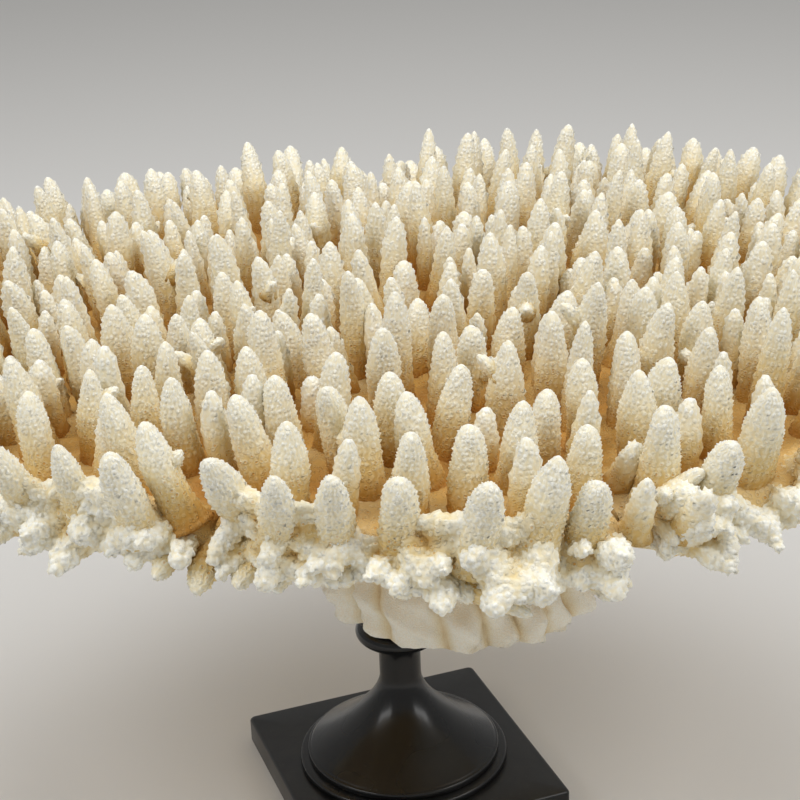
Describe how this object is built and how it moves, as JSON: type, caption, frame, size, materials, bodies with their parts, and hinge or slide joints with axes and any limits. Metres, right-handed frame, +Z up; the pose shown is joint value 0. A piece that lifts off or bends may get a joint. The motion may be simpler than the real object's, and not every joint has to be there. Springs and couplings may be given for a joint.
{
  "type": "table coral on pedestal",
  "caption": "Flat-topped branching table coral with upright fingers, standing on a turned, black lacquered wooden pedestal with a square plinth.",
  "frame": {"origin": "centre of the plinth's underside, where the pedestal stands", "axes": "+Z up along the stem, +X to the right and -Y towards the viewer, with the coral's notched lobe at the front"},
  "size_m": [0.3283, 0.2837, 0.188],
  "materials": {
    "coral": "dry matt coral skeleton, cream with white tips",
    "coral_trunk": "dry matt coral skeleton, worn and pinkish cream",
    "black_lacquer": "turned wood under gloss black lacquer"
  },
  "bodies": {
    "root": {"limb_front": "coral", "limb_front_right": "coral", "limb_right": "coral", "limb_back_right": "coral", "limb_back_left": "coral", "limb_left": "coral", "limb_front_left": "coral", "trunk": "coral_trunk", "turned_stem": "black_lacquer", "plinth": "black_lacquer"}
  },
  "joints": []
}
